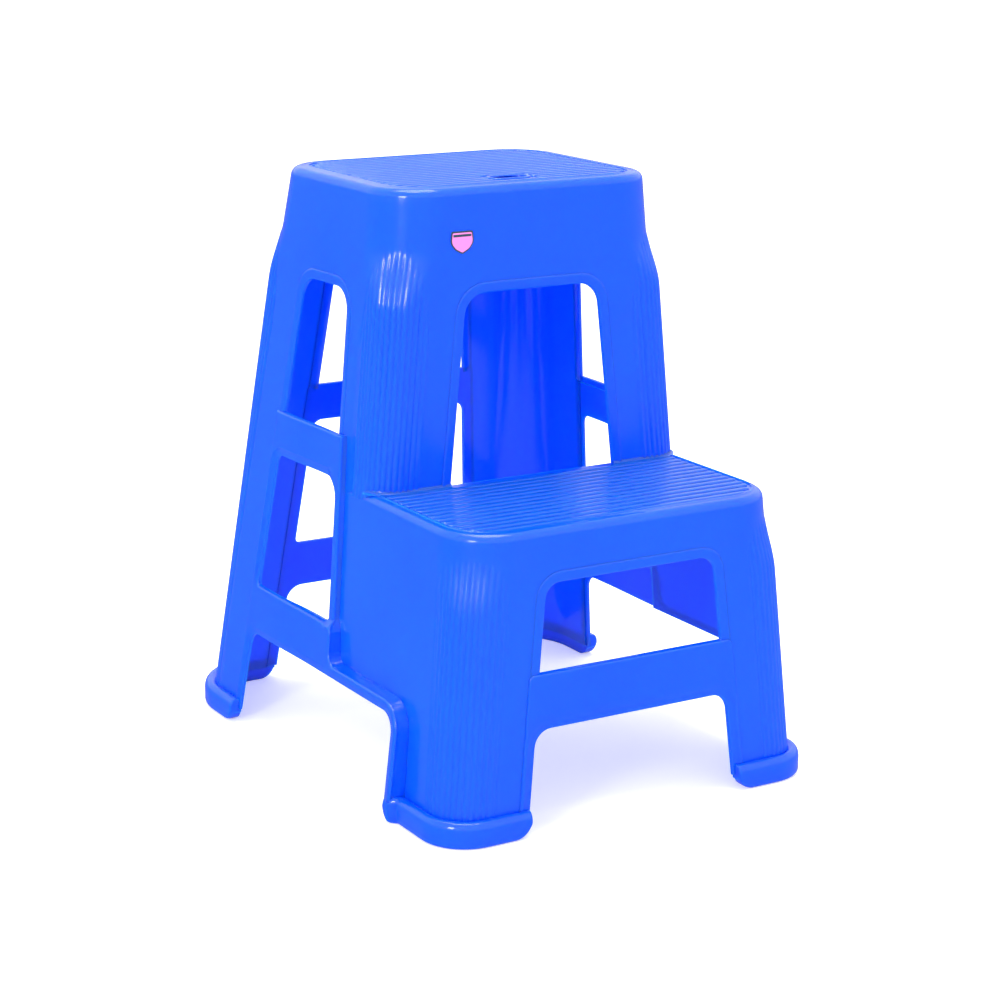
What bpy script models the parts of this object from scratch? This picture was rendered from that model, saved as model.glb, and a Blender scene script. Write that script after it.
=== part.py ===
"""Two-step stool moulded in blue polypropylene, used as a mounting block.

The stool is one thin-walled moulding: a tall tier at the back on two full-height legs, and a low tier in
front of it. It is modelled here as the named members of that moulding, each a closed shell of its own, with
a hairline gap to its neighbours. Units are metres, +Z is up, -Y is the front, and the stool is symmetric
about X = 0. The origin lies on the floor under the centre of the whole stool.
"""

import math

import bmesh
import bpy

# Overall sizes
HEIGHT = 0.450
STEP_HEIGHT = 0.225
TOP_HALF_WIDTH = 0.1175
TOP_DEPTH = 0.1985
STEP_REACH = 0.140

# Drafts, as sideways travel for each metre down
FRAME_DRAFT = 0.118
PANEL_DRAFT = 0.089
UPPER_FRONT_DRAFT = 0.022
BACK_DRAFT = 0.148
STEP_FRONT_DRAFT = 0.047

# Wall, edges and feet
WALL = 0.003
GAP = 0.0003
BORDER = 0.0075
BORDER_DEPTH = 0.0012
RIM_RADIUS = 0.006
SKIRT = 0.012
COLLAR = 0.007
FOOT_HEIGHT = 0.020
FOOT_END_RADIUS = 0.014
STRETCHER_PROUD = 0.0025

# Vertical corners: wide at the top of a tier, and fuller where the fluted leg begins
SOFT_CORNER = 0.042
UPPER_LEG_CORNER = 0.023
LOWER_LEG_CORNER = 0.029
REAR_FOOT_CORNER = 0.056
UPPER_FLUTE_TOP = 0.405
LOWER_FLUTE_TOP = 0.207
FLUTE_RISE = 0.045

# Heights of the openings and of the stretchers between them
UPPER_OPENING_TOP = 0.3695
MID_STRETCHER = (0.227, 0.261)
LOW_STRETCHER = (0.079, 0.118)
REAR_MID_STRETCHER = (0.230, 0.261)
REAR_LOW_STRETCHER = (0.083, 0.122)
STEP_OPENING_TOP = 0.184
FRONT_STRETCHER = (0.077, 0.119)
UPPER_FILLET = 0.018
SMALL_FILLET = 0.009
ARCH_FILLET = 0.014

# Side panel: the recessed field in front of the post, and the strip that edges the front leg
PANEL_FRONT = -0.0795
FRONT_LEG_REAR = -0.0713
PANEL_BORDER = 0.009
POST_PROUD = 0.0048
POST_BORDER = 0.0025

# Hand slot, ribs under the treads, and the sticker
SLOT_LENGTH = 0.030
SLOT_WIDTH = 0.015
SLOT_BACK = 0.036
RIB_WIDTH = 0.0025
RIB_HEIGHT = 0.010
LABEL_WIDTH = 0.0200
LABEL_HEIGHT = 0.0173
LABEL_THICKNESS = 0.0004
LABEL_X = -0.0615
LABEL_Z = 0.4086

ARC_STEPS = 7
BORDER_STEPS = 2
CORNER_STEPS = 7
EDGE_FADE = 0.004

FRONT_MOST = -STEP_REACH - STEP_FRONT_DRAFT * STEP_HEIGHT - COLLAR
BACK_MOST = TOP_DEPTH + BACK_DRAFT * HEIGHT + COLLAR
FRONT_WALL_Y = -(FRONT_MOST + BACK_MOST) / 2

BLUE = (0.006, 0.105, 1.0, 1.0)
PINK = (0.85, 0.28, 0.62, 1.0)


# The planes of the walls and the edges of the openings, each at a height z

def frame_x(z):
    return TOP_HALF_WIDTH + FRAME_DRAFT * (HEIGHT - z)


def panel_x(z):
    return TOP_HALF_WIDTH + PANEL_DRAFT * (HEIGHT - z)


def front_y(z):
    return FRONT_WALL_Y - UPPER_FRONT_DRAFT * (HEIGHT - z)


def back_y(z):
    return FRONT_WALL_Y + TOP_DEPTH + BACK_DRAFT * (HEIGHT - z)


def step_front_y(z):
    return FRONT_WALL_Y - STEP_REACH - STEP_FRONT_DRAFT * (STEP_HEIGHT - z)


def side_opening_front(z):
    """Front edge of the side openings: the front leg's above the middle stretcher, the post's below it."""
    if z > MID_STRETCHER[1]:
        return FRONT_WALL_Y + 0.0635 - 0.015 * (HEIGHT - z)
    return FRONT_WALL_Y + 0.0468 + 0.040 * (z - LOW_STRETCHER[1])


def post_front(z):
    """Where the post steps down to the panel. It is further forward at the low stretcher."""
    above = 0.0382 + 0.057 * (z - LOW_STRETCHER[1])
    return FRONT_WALL_Y + above - 0.0045 * low_share(z)


def post_x(z):
    """Plane of the post: just proud of the panel, and flush with the side frame at the low stretcher."""
    return panel_x(z) + POST_PROUD + (frame_x(z) - panel_x(z) - POST_PROUD) * low_share(z)


def low_share(z):
    return smooth((LOW_STRETCHER[1] + 0.004 - z) / 0.008)


def side_opening_back(z):
    return FRONT_WALL_Y + 0.1206 + 0.117 * (HEIGHT - z)


def upper_half_opening(z):
    return 0.049 + 0.105 * (HEIGHT - z)


def lower_half_opening(z):
    return 0.068 + 0.105 * (STEP_HEIGHT - z)


def rear_half_opening(z):
    return 0.0495 + 0.100 * (HEIGHT - z)


def smooth(t):
    t = min(max(t, 0.0), 1.0)
    return t * t * (3 - 2 * t)


def corner_radius(z, flute_top, full):
    """Horizontal radius of a vertical corner: soft above the flutes, full below where they begin."""
    return SOFT_CORNER + (full - SOFT_CORNER) * smooth((flute_top - z) / FLUTE_RISE)


def fillet_drop(distance, radius):
    """How far a fillet reaches across, at a distance from the edge it starts on."""
    if distance >= radius:
        return 0.0
    return radius - math.sqrt(radius * radius - (radius - distance) ** 2)


# Solids

def material(name, colour, roughness):
    mat = bpy.data.materials.new(name)
    mat.use_nodes = True
    shader = mat.node_tree.nodes["Principled BSDF"]
    shader.inputs["Base Color"].default_value = colour
    shader.inputs["Roughness"].default_value = roughness
    shader.inputs["Metallic"].default_value = 0.0
    return mat


def add_object(name, bm, colour=BLUE, roughness=0.22):
    bmesh.ops.recalc_face_normals(bm, faces=bm.faces)
    mesh = bpy.data.meshes.new(name)
    bm.to_mesh(mesh)
    bm.free()
    mesh.materials.append(material(name, colour, roughness))
    mesh.shade_smooth()
    mesh.set_sharp_from_angle(angle=math.radians(35))
    obj = bpy.data.objects.new(name, mesh)
    bpy.context.scene.collection.objects.link(obj)
    return obj


def grid_solid(name, outer, inner):
    """A closed shell between two grids of points that have the same rows and columns."""
    bm = bmesh.new()
    front = [[bm.verts.new(point) for point in row] for row in outer]
    back = [[bm.verts.new(point) for point in row] for row in inner]
    rows = len(outer)
    columns = len(outer[0])
    for i in range(rows - 1):
        for j in range(columns - 1):
            bm.faces.new((front[i][j], front[i][j + 1], front[i + 1][j + 1], front[i + 1][j]))
            bm.faces.new((back[i][j], back[i + 1][j], back[i + 1][j + 1], back[i][j + 1]))
    for i in range(rows - 1):
        for j in (0, columns - 1):
            bm.faces.new((front[i][j], front[i + 1][j], back[i + 1][j], back[i][j]))
    for j in range(columns - 1):
        for i in (0, rows - 1):
            bm.faces.new((front[i][j], front[i][j + 1], back[i][j + 1], back[i][j]))
    return add_object(name, bm)


def loop_solid(name, loops):
    """A closed body lofted through loops of points, from one closing face to the other."""
    bm = bmesh.new()
    rings = [[bm.verts.new(point) for point in loop] for loop in loops]
    count = len(rings[0])
    for low, high in zip(rings, rings[1:]):
        for j in range(count):
            k = (j + 1) % count
            bm.faces.new((low[j], low[k], high[k], high[j]))
    bm.faces.new(rings[0])
    bm.faces.new(rings[-1])
    return add_object(name, bm)


def border_profile(edge, share, width=BORDER):
    """Points of an opening's border, from the flat wall to its edge: how far along the wall and how deep. share
    runs from 0, a plain flat wall, to 1, a border that slopes in."""
    points = []
    for step in range(BORDER_STEPS + 1):
        along = edge - width + width * step / BORDER_STEPS
        points.append((along, share * BORDER_DEPTH * step / BORDER_STEPS))
    return points


# Legs: a vertical corner of the tier, from one opening round to the next. Sections are drawn in the corner's
# own plan: p is the distance in from the side wall's plane, and q the distance in from the front or back
# wall's plane.

def leg_section(radius, side_edge, side_free, face_edge, face_free, strip=None):
    """Outer and inner plan of a leg. strip, which runs from the side edge to a step, is (where its face ends,
    where the wall in front of the step begins, how far it is proud)."""
    outer = []
    inner = []
    side = border_profile(side_edge, side_free)
    face_end, wall_start, proud = strip or (0.0, side[0][0], 0.0)
    for along, depth in reversed(side):
        across = fillet_drop(along, radius) + depth - proud
        outer.append((across, along))
        inner.append((across + WALL, along))
    if strip:
        back = WALL if proud else 0.0
        outer += [(-proud, face_end), (0.0, wall_start)]
        inner += [(WALL - proud, face_end + back), (WALL, wall_start + back)]
    first = math.asin(1 - min(wall_start - 0.001, radius) / radius)
    for step in range(1, ARC_STEPS + 1):
        turn = first + (math.pi / 2 - first) * step / ARC_STEPS
        across, along = math.cos(turn), math.sin(turn)
        outer.append((radius - radius * across, radius - radius * along))
        inner.append((radius - (radius - WALL) * across, radius - (radius - WALL) * along))
    for along, depth in border_profile(face_edge, face_free):
        outer.append((along, depth))
        inner.append((along, depth + WALL))
    return outer, inner


def place_corner(side, front, wall_x, wall_y, z):
    """Turns points of a corner's plan into points of the stool."""
    inward = 1 if front else -1
    return lambda points: [(side * (wall_x - p), wall_y + inward * q, z) for p, q in points]


def leg(name, side, front, levels, section):
    outer = []
    inner = []
    for z in levels:
        wall_x, wall_y, plan = section(z)
        place = place_corner(side, front, wall_x, wall_y, z)
        outer.append(place(plan[0]))
        inner.append(place(plan[1]))
    return grid_solid(name, outer, inner)


def free_between(z, spans):
    """1 inside the spans of height where the edge is free, fading to 0 at their ends."""
    return max(smooth(min(z - low, high - z) / EDGE_FADE) for low, high in spans)


def breaks(spans):
    """Heights at which an edge's border starts and stops."""
    return [z for low, high in spans for z in (low, low + EDGE_FADE, high - EDGE_FADE, high)]


def upper_front_section(z):
    top = UPPER_OPENING_TOP - UPPER_FILLET
    radius = corner_radius(z, UPPER_FLUTE_TOP, UPPER_LEG_CORNER)
    if z > MID_STRETCHER[1]:
        side_edge = side_opening_front(z) - front_y(z)
    else:
        side_edge = post_front(z) - GAP - front_y(z)
    side_free = free_between(z, [(MID_STRETCHER[1] + 2 * GAP, top)])
    face_edge = panel_x(z) - upper_half_opening(z)
    face_free = free_between(z, [(STEP_HEIGHT, top)])
    return panel_x(z), front_y(z), leg_section(radius, side_edge, side_free, face_edge, face_free)


def rear_section(z):
    top = UPPER_OPENING_TOP - UPPER_FILLET
    full = UPPER_LEG_CORNER + (REAR_FOOT_CORNER - UPPER_LEG_CORNER) * (1 - z / HEIGHT)
    radius = corner_radius(z, UPPER_FLUTE_TOP, full)
    below = -EDGE_FADE
    side_spans = [(below, LOW_STRETCHER[0] - ARCH_FILLET),
                  (LOW_STRETCHER[1], MID_STRETCHER[0] - SMALL_FILLET), (MID_STRETCHER[1], top)]
    back_spans = [(below, REAR_LOW_STRETCHER[0] - ARCH_FILLET),
                  (REAR_LOW_STRETCHER[1], REAR_MID_STRETCHER[0] - SMALL_FILLET), (REAR_MID_STRETCHER[1], top)]
    side_edge = back_y(z) - side_opening_back(z)
    back_edge = frame_x(z) - rear_half_opening(z)
    plan = leg_section(radius, side_edge, free_between(z, side_spans), back_edge, free_between(z, back_spans))
    return frame_x(z), back_y(z), plan


def lower_front_section(z):
    radius = corner_radius(z, LOWER_FLUTE_TOP, LOWER_LEG_CORNER)
    from_front = FRONT_WALL_Y - step_front_y(z)
    step_at = from_front + PANEL_FRONT
    face_edge = panel_x(z) - lower_half_opening(z)
    below = -EDGE_FADE
    face_free = free_between(z, [(below, FRONT_STRETCHER[0] - ARCH_FILLET),
                                 (FRONT_STRETCHER[1], STEP_OPENING_TOP - ARCH_FILLET)])
    if z < LOW_STRETCHER[0] - GAP:
        side_free = free_between(z, [(below, LOW_STRETCHER[0] - ARCH_FILLET)])
        side_edge = from_front + FRONT_LEG_REAR + fillet_drop(LOW_STRETCHER[0] - 2 * GAP - z, ARCH_FILLET)
        strip = (step_at, step_at, frame_x(z) - panel_x(z))
        plan = leg_section(radius, side_edge, side_free, face_edge, face_free, strip)
    else:
        wall_end = step_at - BORDER - 0.001
        strip = (wall_end, wall_end - 0.001, 0.0)
        plan = leg_section(radius, step_at, 0.0, face_edge, face_free, strip)
    return panel_x(z), step_front_y(z), plan


def legs():
    lid_bottom = HEIGHT - SKIRT - GAP
    top = UPPER_OPENING_TOP - UPPER_FILLET
    base = FOOT_HEIGHT + GAP
    flute = [UPPER_FLUTE_TOP - FLUTE_RISE * part for part in (0.0, 0.25, 0.5, 0.75, 1.0)]
    upper = [STEP_HEIGHT - SKIRT + GAP, STEP_HEIGHT, STEP_HEIGHT + 0.005, MID_STRETCHER[1] - GAP]
    upper += [MID_STRETCHER[1] + GAP, MID_STRETCHER[1] + 0.005, 0.31, top - 0.004, top] + flute + [lid_bottom]
    mid_top = MID_STRETCHER[0] - SMALL_FILLET
    rear_mid_top = REAR_MID_STRETCHER[0] - SMALL_FILLET
    side_free = [(LOW_STRETCHER[1], mid_top), (MID_STRETCHER[1], top)]
    back_free = [(REAR_LOW_STRETCHER[1], rear_mid_top)]
    rear = [base, LOW_STRETCHER[0] - ARCH_FILLET - 0.004, REAR_LOW_STRETCHER[0] - ARCH_FILLET]
    rear += breaks(side_free) + breaks(back_free) + flute + [lid_bottom]
    flute = [LOWER_FLUTE_TOP - FLUTE_RISE * part for part in (0.0, 0.25, 0.5, 0.75, 1.0)]
    arch = FRONT_STRETCHER[0] - ARCH_FILLET
    low = [base, arch - 0.004, arch, LOW_STRETCHER[0] - GAP / 2, FRONT_STRETCHER[1]]
    low += [LOW_STRETCHER[0] - 2 * GAP - part * ARCH_FILLET for part in (0.0, 0.03, 0.12, 0.35, 0.65, 1.0)]
    low += [FRONT_STRETCHER[1] + 0.004, STEP_OPENING_TOP - ARCH_FILLET] + flute + [STEP_HEIGHT - SKIRT - GAP]
    for side, word in ((-1, "left"), (1, "right")):
        leg(f"upper_front_{word}_leg", side, True, sorted(set(upper)), upper_front_section)
        leg(f"rear_{word}_leg", side, False, sorted(set(rear)), rear_section)
        leg(f"step_{word}_leg", side, True, sorted(set(low)), lower_front_section)


# Feet: a thick band round the foot of each leg, flat underneath, with rounded lower ends

def foot(name, side, front, wall_x, wall_y, radius, side_edge, face_edge):
    outer = []
    inner = []
    round_off = 0.003
    for z in (0.0, 0.0015, 0.004, 0.008, FOOT_END_RADIUS, FOOT_HEIGHT - round_off, FOOT_HEIGHT):
        below = max(FOOT_END_RADIUS - z, 0.0)
        short = FOOT_END_RADIUS - math.sqrt(FOOT_END_RADIUS ** 2 - below ** 2)
        shrink = max(z - (FOOT_HEIGHT - round_off), 0.0)
        out_depth = COLLAR - shrink
        outer_plan = [(-out_depth, side_edge - short), (-out_depth, radius)]
        inner_plan = [(WALL, side_edge - short), (WALL, radius)]
        for step in range(1, ARC_STEPS):
            turn = math.pi / 2 * step / ARC_STEPS
            across, along = math.cos(turn), math.sin(turn)
            reach = radius + out_depth
            inset = radius - WALL
            outer_plan.append((radius - reach * across, radius - reach * along))
            inner_plan.append((radius - inset * across, radius - inset * along))
        outer_plan += [(radius, -out_depth), (face_edge - short, -out_depth)]
        inner_plan += [(radius, WALL), (face_edge - short, WALL)]
        place = place_corner(side, front, wall_x, wall_y, z)
        outer.append(place(outer_plan))
        inner.append(place(inner_plan))
    return grid_solid(name, outer, inner)


def feet():
    rear_radius = corner_radius(0.0, UPPER_FLUTE_TOP, REAR_FOOT_CORNER)
    for side, word in ((-1, "left"), (1, "right")):
        foot(f"rear_{word}_foot", side, False, frame_x(0), back_y(0), rear_radius,
             back_y(0) - side_opening_back(0), frame_x(0) - rear_half_opening(0))
        foot(f"front_{word}_foot", side, True, panel_x(0), step_front_y(0), LOWER_LEG_CORNER,
             FRONT_WALL_Y + FRONT_LEG_REAR - step_front_y(0), panel_x(0) - lower_half_opening(0))


# Aprons and stretchers: flat walls between two legs, with a bordered lower edge whose ends drop in fillets

def edge_columns(radius):
    return [GAP, 0.12 * radius, 0.35 * radius, 0.65 * radius, radius]


def bar(name, place, start, end, top, bottom, start_fillet, end_fillet):
    """A wall from start(z) to end(z), between two heights. place turns a distance along the wall, a height, a
    depth and the share of the way from start to end into a point."""
    columns = [(0, d, start_fillet) for d in edge_columns(start_fillet)]
    columns += [(0, start_fillet + EDGE_FADE, start_fillet), (1, end_fillet + EDGE_FADE, end_fillet)]
    columns += [(1, d, end_fillet) for d in reversed(edge_columns(end_fillet))]
    profile = border_profile(0.0, 1.0)
    plain = border_profile(0.0, 0.0)
    outer = [[] for _ in range(len(profile) + 1)]
    inner = [[] for _ in range(len(profile) + 1)]
    for which, distance, radius in columns:
        def along(z):
            return start(z) + distance if which == 0 else end(z) - distance

        def point(z, depth):
            share = (along(z) - start(z)) / (end(z) - start(z))
            return place(along(z), z, depth, share)

        edge = bottom - fillet_drop(distance, radius)
        border = profile if distance > radius else plain
        outer[0].append(point(top, 0.0))
        inner[0].append(point(top, WALL))
        for row, (up, depth) in enumerate(border, 1):
            outer[row].append(point(edge - up, depth))
            inner[row].append(point(edge - up, depth + WALL))
    return grid_solid(name, outer, inner)


def front_wall(u, z, depth, share):
    return (u, front_y(z) + depth, z)


def back_wall(u, z, depth, share):
    return (u, back_y(z) - depth, z)


def step_wall(u, z, depth, share):
    return (u, step_front_y(z) + depth, z)


def proud_step_wall(u, z, depth, share):
    return (u, step_front_y(z) + depth - STRETCHER_PROUD, z)


def frame_wall(side):
    return lambda u, z, depth, share: (side * (frame_x(z) - depth), u, z)


def blended_side_wall(side):
    """The wall above the side opening, which runs from the front leg's plane to the side frame's."""
    def place(u, z, depth, share):
        wall_x = panel_x(z) + (frame_x(z) - panel_x(z)) * share
        return (side * (wall_x - depth), u, z)
    return place


def post_to_frame_wall(side):
    """The middle side stretcher, which runs from the post's plane to the side frame's."""
    def place(u, z, depth, share):
        wall_x = post_x(z) + (frame_x(z) - post_x(z)) * share
        return (side * (wall_x - depth), u, z)
    return place


def bars():
    lid_bottom = HEIGHT - SKIRT - GAP
    bar("upper_front_apron", front_wall, lambda z: -upper_half_opening(z), upper_half_opening,
        lid_bottom, UPPER_OPENING_TOP, UPPER_FILLET, UPPER_FILLET)
    bar("upper_back_apron", back_wall, lambda z: -rear_half_opening(z), rear_half_opening,
        lid_bottom, UPPER_OPENING_TOP, UPPER_FILLET, UPPER_FILLET)
    bar("rear_mid_stretcher", back_wall, lambda z: -rear_half_opening(z), rear_half_opening,
        REAR_MID_STRETCHER[1], REAR_MID_STRETCHER[0], SMALL_FILLET, SMALL_FILLET)
    bar("rear_low_stretcher", back_wall, lambda z: -rear_half_opening(z), rear_half_opening,
        REAR_LOW_STRETCHER[1], REAR_LOW_STRETCHER[0], ARCH_FILLET, ARCH_FILLET)
    bar("step_front_apron", step_wall, lambda z: -lower_half_opening(z), lower_half_opening,
        STEP_HEIGHT - SKIRT - GAP, STEP_OPENING_TOP, ARCH_FILLET, ARCH_FILLET)
    bar("front_stretcher", proud_step_wall, lambda z: -lower_half_opening(z), lower_half_opening,
        FRONT_STRETCHER[1], FRONT_STRETCHER[0], ARCH_FILLET, ARCH_FILLET)
    for side, word in ((-1, "left"), (1, "right")):
        bar(f"upper_{word}_apron", blended_side_wall(side), side_opening_front, side_opening_back,
            lid_bottom, UPPER_OPENING_TOP, UPPER_FILLET, UPPER_FILLET)
        bar(f"{word}_mid_stretcher", post_to_frame_wall(side), side_opening_front, side_opening_back,
            MID_STRETCHER[1], MID_STRETCHER[0], UPPER_FILLET, SMALL_FILLET)
        bar(f"{word}_low_stretcher", frame_wall(side), side_opening_front, side_opening_back,
            LOW_STRETCHER[1], LOW_STRETCHER[0], GAP + 0.001, ARCH_FILLET)


# The side of the low tier: a post that edges the side frame, and the recessed panel in front of it

def post_turn():
    """Heights at which the post's step leans back, over the low stretcher's top edge."""
    return [LOW_STRETCHER[1] + away for away in (-0.004, -0.002, 0.0, 0.002, 0.004)]


def mid_post(name, side):
    free = [(LOW_STRETCHER[1], MID_STRETCHER[0] - UPPER_FILLET)]
    levels = sorted({LOW_STRETCHER[0], *post_turn(), *breaks(free), MID_STRETCHER[1] - 2 * GAP})
    outer = []
    inner = []
    for z in levels:
        edge = side_opening_front(z) - FRONT_WALL_Y
        step = post_front(z) - FRONT_WALL_Y
        proud = post_x(z) - panel_x(z)
        outer_plan = []
        inner_plan = []
        for along, depth in reversed(border_profile(edge, free_between(z, free), POST_BORDER)):
            outer_plan.append((depth, along))
            inner_plan.append((depth + WALL, along))
        outer_plan += [(0.0, step), (proud + WALL, step)]
        inner_plan += [(WALL, step + WALL), (proud + WALL, step + WALL)]
        place = place_corner(side, True, post_x(z), FRONT_WALL_Y, z)
        outer.append(place(outer_plan))
        inner.append(place(inner_plan))
    return grid_solid(name, outer, inner)


def side_panel(name, side):
    """The panel from the step's leg back to the post. Its lowest border is flush with the side frame."""
    front = FRONT_WALL_Y + PANEL_FRONT + GAP
    low = LOW_STRETCHER[0] + GAP / 2
    border = low + PANEL_BORDER
    levels = [(low, 0.0), (border, 0.0), (border + 0.001, 1.0)]
    levels += [(z, 1.0) for z in post_turn()] + [(STEP_HEIGHT - SKIRT - GAP, 1.0)]
    outer = []
    inner = []
    for z, recess in levels:
        in_z = z - WALL if border <= z <= border + 0.001 else z
        for rows, height, deep in ((outer, z, 0.0), (inner, in_z, WALL)):
            wall_x = frame_x(height) - recess * (frame_x(height) - panel_x(height)) - deep
            rows.append([(side * wall_x, y, height) for y in (front, post_front(z) - GAP)])
    return grid_solid(name, outer, inner)


# Treads

def rounded_rectangle(half_width, front, back, radius, z):
    points = []
    centre_y = (front + back) / 2
    half_depth = (back - front) / 2
    for index, (sx, sy) in enumerate(((-1, -1), (1, -1), (1, 1), (-1, 1))):
        centre = (sx * (half_width - radius), centre_y + sy * (half_depth - radius))
        for step in range(CORNER_STEPS + 1):
            turn = math.pi + math.pi / 2 * (index + step / CORNER_STEPS)
            points.append((centre[0] + radius * math.cos(turn), centre[1] + radius * math.sin(turn), z))
    return points


def lid_levels(top):
    """(inset, height) of the loops of a lid: up the skirt, over the rim, and back under it."""
    shoulder = top - RIM_RADIUS
    outside = [(0.0, top - SKIRT)]
    inside = [(WALL, top - SKIRT)]
    for step in range(4):
        turn = math.radians(30 * step)
        outside.append((RIM_RADIUS * (1 - math.cos(turn)), shoulder + RIM_RADIUS * math.sin(turn)))
        small = RIM_RADIUS - WALL
        inside.append((WALL + small * (1 - math.cos(turn)), shoulder + small * math.sin(turn)))
    return outside, inside


def upper_tread():
    def loop(inset, z):
        return rounded_rectangle(frame_x(z) - inset, front_y(z) + inset, back_y(z) - inset,
                                 SOFT_CORNER - inset, z)

    outside, inside = lid_levels(HEIGHT)
    loops = [loop(*level) for level in reversed(outside)] + [loop(*level) for level in inside]
    tread = loop_solid("upper_tread", loops)
    bm = bmesh.new()
    rings = []
    for z in (HEIGHT - 0.006, HEIGHT + 0.004):
        ring = []
        for end in (1, -1):
            for step in range(9):
                turn = math.radians(-90 + 180 * step / 8) if end == 1 else math.radians(90 + 180 * step / 8)
                x = end * (SLOT_LENGTH - SLOT_WIDTH) / 2 + SLOT_WIDTH / 2 * math.cos(turn)
                y = FRONT_WALL_Y + SLOT_BACK + SLOT_WIDTH / 2 * math.sin(turn)
                ring.append(bm.verts.new((x, y, z)))
        rings.append(ring)
    for j in range(len(rings[0])):
        k = (j + 1) % len(rings[0])
        bm.faces.new((rings[0][j], rings[0][k], rings[1][k], rings[1][j]))
    bm.faces.new(rings[0])
    bm.faces.new(rings[1])
    cutter = add_object("hand_slot_cutter", bm)
    cutter.hide_render = True
    cutter.display_type = "WIRE"
    cut = tread.modifiers.new("hand_slot", "BOOLEAN")
    cut.operation = "DIFFERENCE"
    cut.object = cutter


def step_outline(z, rim, rear):
    """Plan of the low tread: a rounded front, and a back edge that runs round the upper front legs. rim is how
    far the front and sides are inset, and rear how far the back edge is."""
    half = panel_x(z) - rim
    front = step_front_y(z) + rim
    radius = SOFT_CORNER - rim
    leg_radius = UPPER_LEG_CORNER
    clear = leg_radius + 2 * GAP + rear
    tip = math.radians(64 if rear else 49)
    centre_y = front_y(z) + leg_radius
    points = []
    for side in (-1, 1):
        turns = [tip + (math.pi / 2 - tip) * step / ARC_STEPS for step in range(ARC_STEPS + 1)]
        centre_x = panel_x(z) - leg_radius
        back = [(side * (centre_x + clear * math.cos(t)), centre_y - clear * math.sin(t), z) for t in turns]
        tip_y = back[0][1]
        arc = []
        for step in range(CORNER_STEPS + 1):
            turn = math.pi / 2 * step / CORNER_STEPS
            x = half - radius + radius * math.cos(turn)
            arc.append((side * x, front + radius - radius * math.sin(turn), z))
        half_loop = list(reversed(back)) + [(side * half, tip_y, z)] + arc
        points += half_loop if side == -1 else list(reversed(half_loop))
    return points


def step_tread():
    outside, inside = lid_levels(STEP_HEIGHT)
    loops = [step_outline(z, inset, 0.0) for inset, z in reversed(outside)]
    loops += [step_outline(z, inset, WALL) for inset, z in inside]
    return loop_solid("step_tread", loops)


def rib_comb(name, top, centre_y, spine_half, bar_half, bar_places):
    """Stiffening ribs under a tread: a spine along X with bars across it."""
    half = RIB_WIDTH / 2
    front = []
    for x in bar_places:
        front += [(x - half, centre_y - half), (x - half, centre_y - bar_half)]
        front += [(x + half, centre_y - bar_half), (x + half, centre_y - half)]
    outline = [(-spine_half, centre_y - half), *front, (spine_half, centre_y - half)]
    outline += [(x, 2 * centre_y - y) for x, y in reversed(outline)]
    loops = [[(x, y, z) for x, y in outline] for z in (top - RIB_HEIGHT, top)]
    return loop_solid(name, loops)


def treads():
    upper_tread()
    step_tread()
    under = WALL + GAP
    middle = FRONT_WALL_Y + TOP_DEPTH / 2
    rib_comb("upper_tread_ribs", HEIGHT - under, middle, 0.100, 0.085, (-0.066, -0.024, 0.024, 0.066))
    middle = FRONT_WALL_Y - STEP_REACH / 2
    rib_comb("step_tread_ribs", STEP_HEIGHT - under, middle, 0.120, 0.058, (-0.080, -0.027, 0.027, 0.080))


def label():
    """A small shield-shaped sticker on the upper front, with nothing printed on it."""
    half = LABEL_WIDTH / 2
    outline = [(-half, LABEL_HEIGHT / 2), (-half, 0.0)]
    outline += [(-half * math.cos(t), -0.5 * LABEL_HEIGHT * math.sin(t)) for t in (0.35, 0.7, 1.05, 1.4)]
    outline += [(-x, z) for x, z in reversed(outline)]
    loops = []
    for out in (GAP, GAP + LABEL_THICKNESS):
        loops.append([(LABEL_X + x, front_y(LABEL_Z + z) - out, LABEL_Z + z) for x, z in outline])
    obj = loop_solid("front_label", loops)
    obj.data.materials[0] = material("front_label_face", PINK, 0.4)
    return obj


for old in list(bpy.data.objects):
    bpy.data.objects.remove(old, do_unlink=True)

treads()
legs()
feet()
bars()
for sign, name in ((-1, "left"), (1, "right")):
    mid_post(f"{name}_mid_post", sign)
    side_panel(f"step_{name}_panel", sign)
label()
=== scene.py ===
# Looks of the two-step stool: one glossy blue moulding, drawn whole around the frame's members, and a
# sticker. Lengths are in metres. Throughout, u runs along a wall and v is the height.

import math

import bmesh
import bpy
from mathutils import Matrix, Vector
from mathutils.geometry import delaunay_2d_cdt


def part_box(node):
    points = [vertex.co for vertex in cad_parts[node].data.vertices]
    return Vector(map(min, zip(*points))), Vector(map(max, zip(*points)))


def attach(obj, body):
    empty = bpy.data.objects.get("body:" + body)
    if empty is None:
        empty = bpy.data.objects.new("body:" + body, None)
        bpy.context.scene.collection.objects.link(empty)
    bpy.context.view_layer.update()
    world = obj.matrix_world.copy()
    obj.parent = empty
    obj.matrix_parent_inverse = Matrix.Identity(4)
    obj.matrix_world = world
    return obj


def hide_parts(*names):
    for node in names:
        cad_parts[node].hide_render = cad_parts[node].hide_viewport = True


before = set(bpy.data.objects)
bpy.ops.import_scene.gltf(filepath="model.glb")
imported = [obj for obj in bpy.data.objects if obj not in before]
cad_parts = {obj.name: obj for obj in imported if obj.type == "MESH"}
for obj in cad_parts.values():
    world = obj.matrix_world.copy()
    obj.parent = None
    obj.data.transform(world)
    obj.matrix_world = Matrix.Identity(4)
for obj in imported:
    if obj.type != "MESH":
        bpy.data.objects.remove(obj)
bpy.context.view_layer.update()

# Sizes that the frame doesn't give
WALL = 0.003
BAND = 0.008
BAND_HIDDEN = 0.0004
RIM_RADIUS = 0.006
COLLAR = 0.007
FOOT_END_RADIUS = 0.014
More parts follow.
